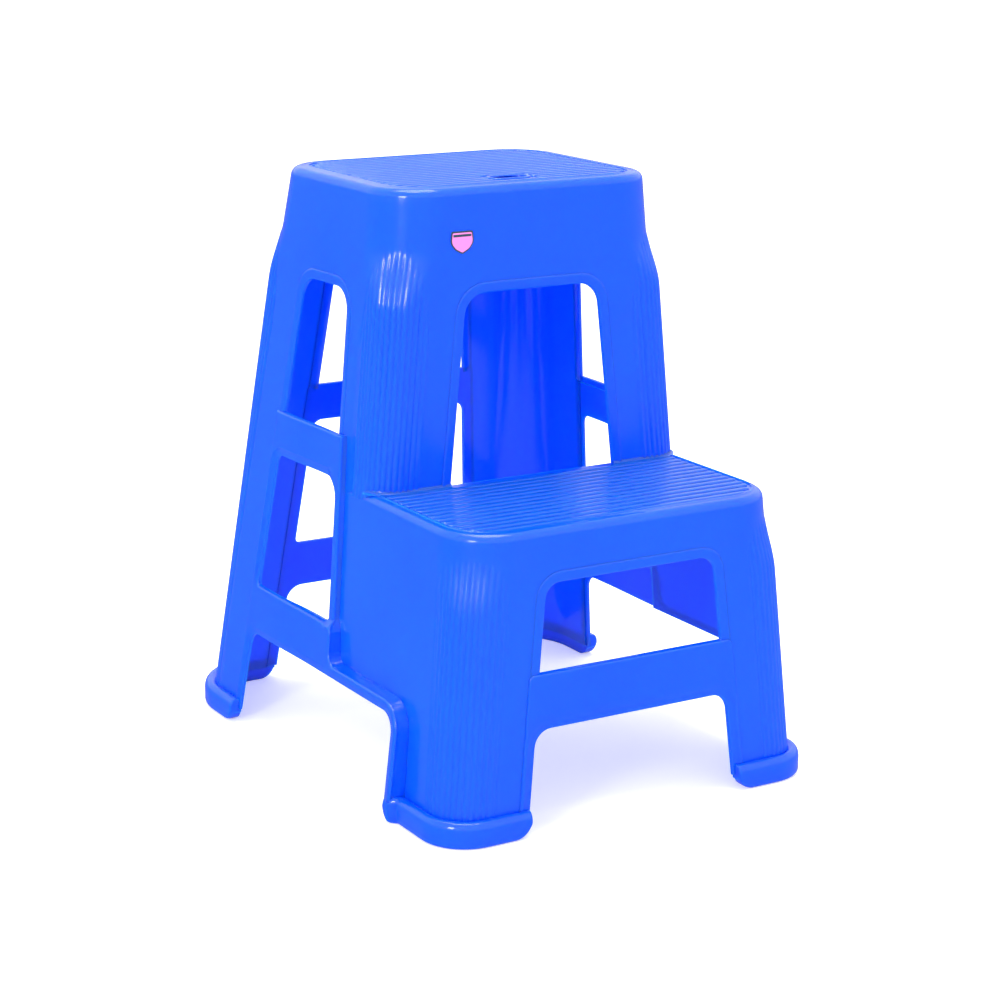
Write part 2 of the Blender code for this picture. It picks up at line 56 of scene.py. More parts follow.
SOFT_CORNER = 0.042
UPPER_LEG_CORNER = 0.023
LOWER_LEG_CORNER = 0.029
REAR_FOOT_CORNER = 0.056
UPPER_FLUTE_TOP = 0.405
LOWER_FLUTE_TOP = 0.207
FLUTE_RISE = 0.045
FLUTE_PITCH = 0.0046
FLUTE_DEPTH = 0.0009
ARCH_FILLET = 0.014
STRIP = 0.0095
FRAME_PROUD = 0.0015
STRETCHER_PROUD = 0.0014
GROOVE_PITCH = 0.009
GROOVE_RIDGE = 0.0062
RIDGE_HEIGHT = 0.0011
RIDGE_INSET = 0.0012
OPENING_FILLET = 0.018
STEP_OPENING_FILLET = 0.013
POST_PROUD = 0.0048


# Planes of the walls, from the boxes of the frame's members

def straight(z0, value0, z1, value1):
    slope = (value1 - value0) / (z1 - z0)
    return lambda z: value0 + slope * (z - z0)


lid_low, lid_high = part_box("upper_tread")
step_low, step_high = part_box("step_tread")
rear_foot_low, rear_foot_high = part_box("rear_right_foot")
front_foot_low, front_foot_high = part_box("front_right_foot")
HEIGHT = lid_high[2]
STEP = step_high[2]
frame_x = straight(0.0, rear_foot_high[0] - COLLAR, lid_low[2], lid_high[0])
panel_x = straight(0.0, front_foot_high[0] - COLLAR, HEIGHT, frame_x(HEIGHT))
back_y = straight(0.0, rear_foot_high[1] - COLLAR, lid_low[2], lid_high[1])
apron_low, apron_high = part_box("upper_front_apron")
front_y = straight(lid_low[2], lid_low[1], apron_low[2], apron_low[1])
step_front_y = straight(0.0, front_foot_low[1] + COLLAR, step_low[2], step_low[1])
FRONT = front_y(HEIGHT)
OPENING_TOP = 0.3695
MID_LOW, MID_HIGH = 0.227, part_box("left_mid_stretcher")[1][2]
LOW_LOW, LOW_HIGH = 0.079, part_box("left_low_stretcher")[1][2]
REAR_MID = (0.230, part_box("rear_mid_stretcher")[1][2])
REAR_LOW = (0.083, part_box("rear_low_stretcher")[1][2])
FRONT_BAR = (0.077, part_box("front_stretcher")[1][2])
STEP_OPENING_TOP = 0.184


def side_opening_front(z):
    return FRONT + 0.0635 - 0.015 * (HEIGHT - z)


def side_opening_back(z):
    return FRONT + 0.1206 + 0.117 * (HEIGHT - z)


def upper_half_opening(z):
    return 0.049 + 0.105 * (HEIGHT - z)


def lower_half_opening(z):
    return 0.068 + 0.105 * (STEP - z)


def rear_half_opening(z):
    return 0.0495 + 0.100 * (HEIGHT - z)


def smooth(t):
    t = min(max(t, 0.0), 1.0)
    return t * t * (3 - 2 * t)


def mix(a, b, t):
    return a + (b - a) * t


# Walls as maps from (u, v, depth) to a point of the stool

def on_front(u, v, depth):
    return (u, front_y(v) + depth, v)


def on_back(u, v, depth):
    return (u, back_y(v) - depth, v)


def on_step_front(u, v, depth):
    return (u, step_front_y(v) + depth, v)


def side_x(y, z):
    share = smooth((y - FRONT - 0.060) / 0.065)
    return mix(panel_x(z), frame_x(z), share)


def on_side(side):
    return lambda u, v, depth: (side * (side_x(u, v) - depth), u, v)


def side_frame_x(y, z):
    """The side frame: just proud of the rear leg, lower along the post, and at full depth below it."""
    rear = frame_x(z) + FRAME_PROUD * smooth((y - FRONT - 0.058) / 0.075)
    post = mix(panel_x(z) + POST_PROUD, rear, smooth((y - FRONT - 0.058) / 0.075))
    return mix(rear, post, smooth((z - LOW_HIGH + 0.002) / 0.004))


def on_side_frame(side):
    return lambda u, v, depth: (side * (side_frame_x(u, v) - depth), u, v)


# Materials

def moulded_blue():
    """Glossy polypropylene: slight unevenness in colour and gloss, fine scuffs and a rippled surface."""
    mat = bpy.data.materials.new("moulded_blue")
    mat.use_nodes = True
    nodes, links = mat.node_tree.nodes, mat.node_tree.links
    shader = nodes["Principled BSDF"]
    shader.inputs["IOR"].default_value = 1.49
    shader.inputs["Specular IOR Level"].default_value = 0.45
    shader.inputs["Subsurface Weight"].default_value = 0.85
    shader.inputs["Subsurface Radius"].default_value = (0.1, 0.6, 1.0)
    shader.inputs["Subsurface Scale"].default_value = 0.015
    coords = nodes.new("ShaderNodeTexCoord")

    def noise(scale, detail, stretch=(1, 1, 1)):
        mapping = nodes.new("ShaderNodeMapping")
        mapping.inputs["Scale"].default_value = stretch
        links.new(coords.outputs["Object"], mapping.inputs["Vector"])
        texture = nodes.new("ShaderNodeTexNoise")
        texture.inputs["Scale"].default_value = scale
        texture.inputs["Detail"].default_value = detail
        links.new(mapping.outputs["Vector"], texture.inputs["Vector"])
        return texture.outputs["Fac"]

    def ramp(value, stops):
        node = nodes.new("ShaderNodeValToRGB")
        node.color_ramp.elements[0].position, node.color_ramp.elements[0].color = stops[0]
        node.color_ramp.elements[1].position, node.color_ramp.elements[1].color = stops[1]
        links.new(value, node.inputs["Fac"])
        return node.outputs["Color"]

    cloud = noise(7.0, 3.0)
    links.new(ramp(cloud, [(0.3, (0.0016, 0.084, 0.96, 1)), (0.7, (0.0022, 0.095, 1.0, 1))]),
              shader.inputs["Base Color"])
    scuffs = noise(60.0, 6.0, (1.0, 1.0, 0.12))
    links.new(ramp(scuffs, [(0.45, (0.13, 0.13, 0.13, 1)), (0.80, (0.24, 0.24, 0.24, 1))]),
              shader.inputs["Roughness"])
    ripple = nodes.new("ShaderNodeBump")
    ripple.inputs["Strength"].default_value = 0.10
    ripple.inputs["Distance"].default_value = 0.002
    links.new(noise(22.0, 2.0), ripple.inputs["Height"])
    grain = nodes.new("ShaderNodeBump")
    grain.inputs["Strength"].default_value = 0.05
    grain.inputs["Distance"].default_value = 0.0002
    links.new(noise(900.0, 2.0), grain.inputs["Height"])
    links.new(ripple.outputs["Normal"], grain.inputs["Normal"])
    links.new(grain.outputs["Normal"], shader.inputs["Normal"])
    return mat


def printed_film(name, dark, light):
    mat = bpy.data.materials.new(name)
    mat.use_nodes = True
    nodes, links = mat.node_tree.nodes, mat.node_tree.links
    shader = nodes["Principled BSDF"]
    shader.inputs["Roughness"].default_value = 0.35
    coords = nodes.new("ShaderNodeTexCoord")
    texture = nodes.new("ShaderNodeTexNoise")
    texture.inputs["Scale"].default_value = 1500.0
    links.new(coords.outputs["Object"], texture.inputs["Vector"])
    node = nodes.new("ShaderNodeValToRGB")
    node.color_ramp.elements[0].color = dark
    node.color_ramp.elements[1].color = light
    links.new(texture.outputs["Fac"], node.inputs["Fac"])
    links.new(node.outputs["Color"], shader.inputs["Base Color"])
    return mat


BLUE = moulded_blue()
PINK = printed_film("label_face", (0.85, 0.20, 0.60, 1), (0.95, 0.28, 0.68, 1))
TEAL = printed_film("label_border", (0.010, 0.045, 0.075, 1), (0.016, 0.060, 0.095, 1))


# Solids

def finish_piece(name, bm, mat=None, replaces=(), angle=38):
    bmesh.ops.recalc_face_normals(bm, faces=bm.faces)
    mesh = bpy.data.meshes.new(name)
    bm.to_mesh(mesh)
    bm.free()
    mesh.materials.append(mat or BLUE)
    mesh.shade_smooth()
    mesh.set_sharp_from_angle(angle=math.radians(angle))
    obj = bpy.data.objects.new(name, mesh)
    bpy.context.scene.collection.objects.link(obj)
    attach(obj, "root")
    if replaces:
        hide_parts(*replaces)
    return obj


def cut(obj, cutters):
    """Takes the cutters, closed meshes, out of obj, and removes them."""
    for cutter in cutters:
        tool = obj.modifiers.new("cut", "BOOLEAN")
        tool.operation = "DIFFERENCE"
        tool.solver = "MANIFOLD"
        tool.object = cutter
    bpy.context.view_layer.update()
    graph = bpy.context.evaluated_depsgraph_get()
    mesh = bpy.data.meshes.new_from_object(obj.evaluated_get(graph))
    obj.modifiers.clear()
    old = obj.data
    obj.data = mesh
    bpy.data.meshes.remove(old)
    for cutter in cutters:
        old = cutter.data
        bpy.data.objects.remove(cutter, do_unlink=True)
        bpy.data.meshes.remove(old)
    mesh.shade_smooth()
    mesh.set_sharp_from_angle(angle=math.radians(38))


def prism(outline, place, near, far):
    """A cutter: an outline in (u, v) between two depths. place turns (u, v, depth) into a point."""
    bm = loop_solid([[place(u, v, depth) for u, v in outline] for depth in (near, far)])
    bmesh.ops.recalc_face_normals(bm, faces=bm.faces)
    mesh = bpy.data.meshes.new("cutter")
    bm.to_mesh(mesh)
    bm.free()
    obj = bpy.data.objects.new("cutter", mesh)
    bpy.context.scene.collection.objects.link(obj)
    return obj


def along_y(u, v, depth):
    return (u, depth, v)


def along_x(u, v, depth):
    return (depth, u, v)


def along_z(u, v, depth):
    return (u, v, depth)


def filleted(corners, radii, steps=10, closed=True):
    """A polygon whose corners are rounded. In an open path, the two ends stay as they are."""
    points = []
    count = len(corners)
    for i, (corner, radius) in enumerate(zip(corners, radii)):
        here = Vector(corner)
        if radius <= 0 or (not closed and i in (0, count - 1)):
            points.append(here)
            continue
        last = (Vector(corners[i - 1]) - here).normalized()
        following = (Vector(corners[(i + 1) % count]) - here).normalized()
        half = last.angle(following) / 2
        middle = here + (last + following).normalized() * radius / math.sin(half)
        start = here + last * radius / math.tan(half) - middle
        end = here + following * radius / math.tan(half) - middle
        first = math.atan2(start.y, start.x)
        turn = (math.atan2(end.y, end.x) - first + math.pi) % (2 * math.pi) - math.pi
        for step in range(steps + 1):
            angle = first + turn * step / steps
            points.append(middle + radius * Vector((math.cos(angle), math.sin(angle))))
    return points


def left_normals(points, closed=True):
    """At each point, the way to the left of the path, long enough to keep an offset path parallel."""
    count = len(points)
    normals = []
    for i, point in enumerate(points):
        ways = []
        if closed or i > 0:
            ways.append((point - points[i - 1]).normalized())
        if closed or i < count - 1:
            ways.append((points[(i + 1) % count] - point).normalized())
        sides = [Vector((-way.y, way.x)) for way in ways]
        total = sum(sides, Vector((0, 0)))
        normals.append(total / (1 + sides[0].dot(sides[-1])) if len(sides) == 2 else total)
    return normals


def offset(points, distance, closed=True):
    return [point + distance * normal for point, normal in zip(points, left_normals(points, closed))]


def grid(bm, rings, closed=True):
    """Quads between rings of points, each ring a list of the same length."""
    verts = [[bm.verts.new(point) for point in ring] for ring in rings]
    count = len(verts[0])
    for low, high in zip(verts, verts[1:]):
        for j in range(count if closed else count - 1):
            k = (j + 1) % count
            bm.faces.new((low[j], low[k], high[k], high[j]))
    return verts


def add_capped(bm, rings):
    """A closed body in bm through rings of points, with a flat face at each end."""
    verts = grid(bm, rings)
    bm.faces.new(verts[0])
    bm.faces.new(verts[-1])


def loop_solid(rings):
    bm = bmesh.new()
    add_capped(bm, rings)
    return bm


def band(name, path, place, width=BAND):
    """The border round an opening: a strip beside the path, to its left, that slopes in a little towards the
    opening and turns over its edge."""
    profile = [(width + BAND_HIDDEN, 0.0008), (width + 0.0003, 0.0), (width, -0.00022),
               (width - 0.0004, -0.00036), (width - 0.0010, -0.00045), (width - 0.0020, -0.00042),
               (0.0018, 0.00025), (0.0010, 0.00045),
               (0.0005, 0.00075), (0.00015, 0.0012), (0.0, 0.0018), (0.0, WALL + 0.0002),
               (0.0006, WALL + 0.0006), (width + BAND_HIDDEN, WALL + 0.0004)]
    normals = left_normals(path, closed=False)
    rings = []
    for point, normal in zip(path, normals):
        ring = []
        for away, depth in profile:
            u, v = point + normal * away
            ring.append(place(u, v, depth))
        rings.append(ring)
    return finish_piece(name, loop_solid(rings))


def inside(point, loop):
    hit = False
    count = len(loop)
    for i in range(count):
        a, b = loop[i], loop[(i + 1) % count]
        if (a.y > point.y) != (b.y > point.y) and point.x < (b.x - a.x) * (point.y - a.y) / (b.y - a.y) + a.x:
            hit = not hit
    return hit


def fill_points(loops, spacing):
    """Points of a grid inside the first loop and outside the others, clear of them all."""
    xs = [p.x for p in loops[0]]
    ys = [p.y for p in loops[0]]
    points = []
    every = [p for loop in loops for p in loop]
    for i in range(int((max(xs) - min(xs)) / spacing)):
        for j in range(int((max(ys) - min(ys)) / spacing)):
            point = Vector((min(xs) + (i + 0.5) * spacing, min(ys) + (j + 0.5) * spacing))
            if inside(point, loops[0]) and not any(inside(point, hole) for hole in loops[1:]):
                if min((point - other).length for other in every) > 0.4 * spacing:
                    points.append(point)
    return points


def densify(points, spacing):
    out = []
    for i, a in enumerate(points):
        b = points[(i + 1) % len(points)]
        parts = max(1, round((b - a).length / spacing))
        out += [a + (b - a) * k / parts for k in range(parts)]
    return out


def inner_triangles(triangles, outline_edges):
    """The triangles of a plane mesh that lie inside its outlines. Crossing an outline goes in or out."""
    walls = {frozenset(edge) for edge in outline_edges}
    beside = {}
    for index, triangle in enumerate(triangles):
        for k in range(3):
            beside.setdefault(frozenset((triangle[k], triangle[k - 1])), []).append(index)
    is_in = {}
    ahead = []
    for edge, owners in beside.items():
        if len(owners) == 1 and owners[0] not in is_in:
            is_in[owners[0]] = edge in walls
            ahead.append(owners[0])
    while ahead:
        index = ahead.pop()
        triangle = triangles[index]
        for k in range(3):
            edge = frozenset((triangle[k], triangle[k - 1]))
            for other in beside[edge]:
                if other not in is_in:
                    is_in[other] = is_in[index] != (edge in walls)
                    ahead.append(other)
    return [triangle for index, triangle in enumerate(triangles) if is_in[index]]


# Rows of an edge as (inset, depth), without and with a sloping band
EDGE_PLAIN = ((0.0, 0.0016), (0.0001, 0.0010), (0.0005, 0.0004),
              (0.0010, 0.0001), (0.0016, 0.0), (0.0020, 0.0))
EDGE_BAND = ((0.0, 0.0024), (0.00015, 0.0018), (0.0005, 0.0014),
             (0.0012, 0.0012), (0.0060, 0.0006), (0.0068, 0.0))


def plate(loops, place, thickness, banded=lambda u, v: 0.0, spacing=0.009):
    """A plate in (u, v): the first loop anticlockwise, holes clockwise. Its face turns over at the edges,
    with a sloping band where banded(u, v) is 1."""
    loops = [densify([Vector(p) for p in loop], spacing) for loop in loops]
    bm = bmesh.new()
    rows = []
    for loop in loops:
        normals = left_normals(loop)
        shares = [banded(*point) for point in loop]
        loop_rows = []
        for plain, banded_row in zip(EDGE_PLAIN, EDGE_BAND):
            row = []
            for point, normal, share in zip(loop, normals, shares):
                flat = point + normal * mix(plain[0], banded_row[0], share)
                row.append((flat, mix(plain[1], banded_row[1], share)))
            loop_rows.append(row)
        rows.append(loop_rows)
    faces = []
    for level in (0, 1):
        outlines = [[p for p, d in loop_rows[-1]] if level else loop for loop, loop_rows in zip(loops, rows)]
        depth = 0.0 if level else thickness
        flat = [p for outline in outlines for p in outline]
        edges = []
        start = 0
        for outline in outlines:
            edges += [(start + i, start + (i + 1) % len(outline)) for i in range(len(outline))]
            start += len(outline)
        flat += fill_points(outlines, spacing)
        result = delaunay_2d_cdt(flat, edges, [], 0, 1e-7)
        points, triangles = result[0], result[2]
        verts = [bm.verts.new(place(p.x, p.y, depth)) for p in points]
        for triangle in inner_triangles(triangles, edges):
            bm.faces.new([verts[i] for i in triangle])
        faces.append(verts)
    start = 0
    for loop, loop_rows in zip(loops, rows):
        count = len(loop)
        rings = [faces[0][start:start + count]]
        for row in loop_rows[:-1]:
            rings.append([bm.verts.new(place(p.x, p.y, d)) for p, d in row])
        rings.append(faces[1][start:start + count])
        for low, high in zip(rings, rings[1:]):
            for j in range(count):
                k = (j + 1) % count
                bm.faces.new((low[j], low[k], high[k], high[j]))
        start += count
    bmesh.ops.delete(bm, geom=[v for v in bm.verts if not v.link_faces], context="VERTS")
    bmesh.ops.holes_fill(bm, edges=[e for e in bm.edges if len(e.link_faces) == 1], sides=0)
    return bm


# Shells of the two tiers

def corner_radius(z, flute_top, full):
    return mix(SOFT_CORNER, full, smooth((flute_top - z) / FLUTE_RISE))


def flute(s, z, top, widest, rise, depth):
    """Outward displacement of a fluted corner, at a distance s round from the middle of the corner."""
    if z >= top:
        return 0.0
    t = min((top - z) / rise, 1.0)
    half = widest * math.sqrt(1 - (1 - t) ** 2)
    wave = abs(math.sin(math.pi * s / FLUTE_PITCH))
    swell = depth * (wave - 0.45) * smooth((half - abs(s)) / 0.003) * smooth((top - z) / 0.010)
    edge = math.exp(-((abs(s) - half) / 0.0007) ** 2)
    return swell - 0.6 * depth * edge * smooth((top - z) / 0.030)


CORNER_EXTRA = 0.015
LEG_END = 0.010
CORNER_COLUMNS = 88
EXTRA_COLUMNS = 18


def corner_block(centre, radius, first, shape):
    """Plan points round a corner, from CORNER_EXTRA before its arc to as far after it."""
    points = []
    arc = radius * math.pi / 4
    stops = [(-arc - CORNER_EXTRA * (1 - k / EXTRA_COLUMNS)) for k in range(EXTRA_COLUMNS)]
    stops += [mix(-arc, arc, k / CORNER_COLUMNS) for k in range(CORNER_COLUMNS + 1)]
    stops += [arc + CORNER_EXTRA * (k + 1) / EXTRA_COLUMNS for k in range(EXTRA_COLUMNS)]
    for s in stops:
        turn = math.radians(first + 45) + min(max(s, -arc), arc) / radius
        beyond = s - min(max(s, -arc), arc)
        normal = Vector((math.cos(turn), math.sin(turn)))
        along = Vector((-normal.y, normal.x))
        points.append(Vector(centre) + normal * (radius + shape(s)) + along * beyond)
    return points


def upper_plan(z, inset=(0.0, 0.0, 0.0), fluted=True):
    """Plan of the tall tier at a height. inset is how far in from the sides, the front and the back."""
    side, front, back = inset
    near = front_y(z) + front
    far = back_y(z) - back
    narrow = panel_x(z) - side
    wide = frame_x(z) - side
    full = UPPER_LEG_CORNER + (REAR_FOOT_CORNER - UPPER_LEG_CORNER) * (1 - z / HEIGHT)
    r_front = corner_radius(z, UPPER_FLUTE_TOP, UPPER_LEG_CORNER) - (side + front) / 2
    r_back = corner_radius(z, UPPER_FLUTE_TOP, full) - (side + back) / 2

    def shape(s):
        return flute(s, z, UPPER_FLUTE_TOP, 0.033, 0.085, FLUTE_DEPTH) if fluted else 0.0

    points = corner_block((-narrow + r_front, near + r_front), r_front, 180, shape)
    points += [Vector((x * (narrow - r_front - CORNER_EXTRA) / 4, near)) for x in range(-3, 4)]
    points += corner_block((narrow - r_front, near + r_front), r_front, 270, shape)
    start = near + r_front + CORNER_EXTRA
    end = far - r_back - CORNER_EXTRA
    rise = [mix(start, end, k / 24) for k in range(1, 24)]
    points += [Vector((side_x(y, z) - side, y)) for y in rise]
    points += corner_block((wide - r_back, far - r_back), r_back, 0, shape)
    points += [Vector((-x * (wide - r_back - CORNER_EXTRA) / 4, far)) for x in range(-3, 4)]
    points += corner_block((-wide + r_back, far - r_back), r_back, 90, shape)
    points += [Vector((-side_x(y, z) + side, y)) for y in reversed(rise)]
    return [(p.x, p.y, z) for p in points]


STEP_BACK = FRONT + 0.044


def step_plan(z, inset=(0.0, 0.0), fluted=True):
    """Plan of the low tier at a height, from the back of its left panel round the front to the right's."""
    side, front = inset
    near = step_front_y(z) + front
    half = panel_x(z) - side
    radius = corner_radius(z, LOWER_FLUTE_TOP, LOWER_LEG_CORNER) - (side + front) / 2

    def shape(s):
        return flute(s, z, LOWER_FLUTE_TOP, 0.0305, 0.032, 0.75 * FLUTE_DEPTH) if fluted else 0.0

    start = near + radius + CORNER_EXTRA
    lead = [mix(STEP_BACK, start, k / 8) for k in range(8)]
    points = [Vector((-half, y)) for y in lead]
    points += corner_block((-half + radius, near + radius), radius, 180, shape)
    points += [Vector((x * (half - radius - CORNER_EXTRA) / 4, near)) for x in range(-3, 4)]
    points += corner_block((half - radius, near + radius), radius, 270, shape)
    points += [Vector((half, y)) for y in reversed(lead)]
    return [(p.x, p.y, z) for p in points]


def rim_rows(top, sides):
    """(height, insets) from the wall up over the rim to the field of ridges. sides are the field's insets."""
    shoulder = top - 0.0008 - RIM_RADIUS
    rows = []
    for step in range(11):
        turn = math.radians(9 * step)
        inward = RIM_RADIUS * (1 - math.cos(turn))
        rows.append((shoulder + RIM_RADIUS * math.sin(turn), [inward for _ in sides]))
    for share, drop in ((0.3, 0.00068), (0.6, 0.00035), (0.85, 0.00008), (1.0, 0.0)):
        rows.append((top - drop, [mix(RIM_RADIUS, side - 0.0012, share) for side in sides]))
    for away, drop in ((0.0006, 0.0001), (0.0002, 0.0005), (0.0, RIDGE_HEIGHT + 0.0001)):
        rows.append((top - drop, [side - away for side in sides]))
    return rows


def heights(*spans):
    """Heights from spans of (low, high, spacing)."""
    out = []
    for low, high, spacing in spans:
        parts = max(1, round((high - low) / spacing))
        out += [mix(low, high, k / parts) for k in range(parts)]
    return out


def slot_outline(half_length, half_width, centre_y, steps=10):
    points = []
    for end in (1, -1):
        for step in range(steps + 1):
            turn = math.radians(-90 + 180 * step / steps) + (0 if end == 1 else math.pi)
            points.append(Vector((end * (half_length - half_width) + half_width * math.cos(turn),
                                  centre_y + half_width * math.sin(turn))))
    return points


SLOT_CENTRE = FRONT + 0.036
SLOT_HALF_LENGTH = 0.015
SLOT_HALF_WIDTH = 0.0075
UPPER_FIELD = (0.0133, 0.0095, 0.0135)
STEP_FIELD = (0.0072, 0.0108)


def arch_path(left, right, low, top, radius):
    """The edge of an opening, from its lower left corner over the top to its lower right corner."""
    corners = [(left(low), low), (left(top), top), (right(top), top), (right(low), low)]
    return filleted(corners, [0, radius, radius, 0], closed=False)


def upper_opening_path(half, low):
    return arch_path(lambda z: -half(z), half, low, OPENING_TOP, OPENING_FILLET)


def side_opening_path(low):
    return arch_path(side_opening_front, side_opening_back, low, OPENING_TOP, OPENING_FILLET)


def step_opening_path(low):
    half = lower_half_opening
    return arch_path(lambda z: -half(z), half, low, STEP_OPENING_TOP, STEP_OPENING_FILLET)


def upper_shell():
    bm = bmesh.new()
    levels = heights((LEG_END, 0.30, 0.012), (0.30, 0.412, 0.0022), (0.412, HEIGHT - 0.0068, 0.006))
    outer = [upper_plan(z) for z in levels]
    outer += [upper_plan(z, inset) for z, inset in rim_rows(HEIGHT, UPPER_FIELD)]
    outer_verts = grid(bm, outer, closed=True)
    bm.faces.new(outer_verts[-1])
    walls = (WALL, WALL, WALL)
    inner = [upper_plan(z, walls, fluted=False) for z in heights((LEG_END, 0.34, 0.04), (0.34, 0.442, 0.010))]
    inner.append(upper_plan(HEIGHT - 0.0055, walls, fluted=False))
    inner.append(upper_plan(HEIGHT - 0.0040, (0.004, 0.004, 0.004), fluted=False))
    inner_verts = grid(bm, inner, closed=True)
    bm.faces.new(inner_verts[-1])
    count = len(outer_verts[0])
    for j in range(count):
        k = (j + 1) % count
        bm.faces.new((outer_verts[0][j], outer_verts[0][k], inner_verts[0][k], inner_verts[0][j]))
    nodes = ["upper_tread", "upper_front_apron", "upper_back_apron", "upper_left_apron", "upper_right_apron",
             "upper_front_left_leg", "upper_front_right_leg", "rear_left_leg", "rear_right_leg"]
    shell = finish_piece("upper_shell", bm, replaces=nodes)
    open_by = BAND - BAND_HIDDEN
    front_hole = offset(upper_opening_path(upper_half_opening, 0.210), open_by, closed=False)
    rear_hole = offset(upper_opening_path(rear_half_opening, -0.01), open_by, closed=False)
    side_hole = offset(side_opening_path(MID_HIGH - 0.006), open_by, closed=False)
    low_side = [(FRONT - 0.2, -0.01), (FRONT - 0.2, STEP - 0.0065), (FRONT + 0.050, STEP - 0.0065),
                (FRONT + 0.050, MID_HIGH - 0.0055), (side_opening_back(MID_HIGH) + 0.004, MID_HIGH - 0.0055),
                (side_opening_back(-0.01) + 0.004, -0.01)]
    slot = slot_outline(SLOT_HALF_LENGTH, SLOT_HALF_WIDTH, SLOT_CENTRE)
    cut(shell, [
        prism(front_hole, along_y, FRONT - 0.1, FRONT + 0.05),
        prism(rear_hole, along_y, FRONT + 0.15, FRONT + 0.35),
        prism(side_hole, along_x, -0.3, 0.3),
        prism(low_side, along_x, -0.3, 0.3),
        prism(slot, along_z, HEIGHT - 0.01, HEIGHT + 0.01),
    ])
    return shell


def step_shell():
    bm = bmesh.new()
    levels = heights((LEG_END, 0.15, 0.010), (0.15, 0.212, 0.0022), (0.212, STEP - 0.0068, 0.004))
    outer = [step_plan(z) for z in levels]
    outer += [step_plan(z, inset) for z, inset in rim_rows(STEP, STEP_FIELD)]
    outer_verts = grid(bm, outer, closed=False)
    bm.faces.new(outer_verts[-1])
    walls = (WALL, WALL)
    inner = [step_plan(z, walls, fluted=False) for z in heights((LEG_END, 0.14, 0.03), (0.14, 0.218, 0.010))]
    inner.append(step_plan(STEP - 0.0055, walls, fluted=False))
    inner.append(step_plan(STEP - 0.0040, (0.004, 0.004), fluted=False))
    inner_verts = grid(bm, inner, closed=False)
    bm.faces.new(inner_verts[-1])
    count = len(outer_verts[0])
    for j in range(count - 1):
        bm.faces.new((outer_verts[0][j], outer_verts[0][j + 1], inner_verts[0][j + 1], inner_verts[0][j]))
    for j in (0, -1):
        column = [row[j] for row in outer_verts] + [row[j] for row in reversed(inner_verts)]
        bm.faces.new(column)
    bm.faces.new((outer_verts[-1][0], outer_verts[-1][-1], inner_verts[-1][-1], inner_verts[-1][0]))
    nodes = ["step_tread", "step_front_apron", "step_left_panel", "step_right_panel", "step_left_leg",
             "step_right_leg"]
    shell = finish_piece("step_shell", bm, replaces=nodes)
    open_by = BAND - BAND_HIDDEN
    hole = offset(step_opening_path(-0.01), open_by, closed=False)
    half = panel_x(STEP) - WALL - 0.001
    well_corners = [(-half, FRONT + 0.0035), (half, FRONT + 0.0035),
                    (half, FRONT + 0.08), (-half, FRONT + 0.08)]
    well = filleted(well_corners, [0.025, 0.025, 0, 0])
    arch_corners = [(FRONT - 0.0745, -0.01), (FRONT - 0.0745, LOW_LOW + 0.004),
                    (FRONT + 0.08, LOW_LOW + 0.004), (FRONT + 0.08, -0.01)]
    arch = filleted(arch_corners, [0, 0.016, 0, 0])
    cut(shell, [
        prism(hole, along_y, FRONT - 0.25, FRONT - 0.08),
        prism(well, along_z, STEP - 0.03, STEP + 0.01),
        prism(arch, along_x, -0.3, 0.3),
    ])
    return shell


def bands():
    band("upper_front_band", upper_opening_path(upper_half_opening, STEP - 0.004), on_front)
    band("upper_rear_band", upper_opening_path(rear_half_opening, REAR_MID[1] - 0.004), on_back)
    band("step_front_band", step_opening_path(FRONT_BAR[1] - 0.004), on_step_front)
    for side, word in ((-1, "left"), (1, "right")):
        band(f"{word}_upper_band", side_opening_path(MID_HIGH - 0.004), on_side(side))


# Frames: the stretchers and the strips that stand proud of the walls

FLOOR_CLEAR = 0.011


def frame_outline(half, low, high):
    """Stretchers up to high, with an arch under low and a strip down each leg beside the opening."""
    foot = half(FLOOR_CLEAR)
    corners = [(-foot - STRIP, FLOOR_CLEAR), (-foot, FLOOR_CLEAR), (-half(low), low), (half(low), low),
               (foot, FLOOR_CLEAR), (foot + STRIP, FLOOR_CLEAR), (half(high) + STRIP, high),
               (-half(high) - STRIP, high)]
    return filleted(corners, [0, 0, ARCH_FILLET, ARCH_FILLET, 0, 0, 0.005, 0.005])


def front_frame():
    half = lower_half_opening
    low, high = FRONT_BAR
    outline = frame_outline(half, low, high)

    def place(u, v, depth):
        return (u, step_front_y(v) - STRETCHER_PROUD + depth, v)

    def banded(u, v):
        return 1.0 if v < low + 0.0005 and abs(u) < half(v) + 0.0005 else 0.0

    bm = plate([outline], place, STRETCHER_PROUD + WALL + 0.0005, banded)
    finish_piece("front_frame", bm, replaces=["front_stretcher"])


def rear_frame():
    half = rear_half_opening
    low, high = REAR_LOW[0], REAR_MID[1]
    outline = frame_outline(half, low, high)
    bottom, top = REAR_LOW[1], REAR_MID[0]
    hole = filleted([(-half(bottom), bottom), (-half(top), top), (half(top), top), (half(bottom), bottom)],
                    [0.004, 0.009, 0.009, 0.004])

    def place(u, v, depth):
        return (u, back_y(v) + FRAME_PROUD - depth, v)

    def banded(u, v):
        return 1.0 if abs(u) < half(v) + 0.0005 and v < high - 0.005 else 0.0

    bm = plate([outline, hole], place, FRAME_PROUD + WALL + 0.0005, banded)
    finish_piece("rear_frame", bm, replaces=["rear_mid_stretcher", "rear_low_stretcher"])


STRIP_REAR = FRONT - 0.0713
STRIP_WIDTH = 0.0082
STRIP_FRONT = STRIP_REAR - STRIP_WIDTH


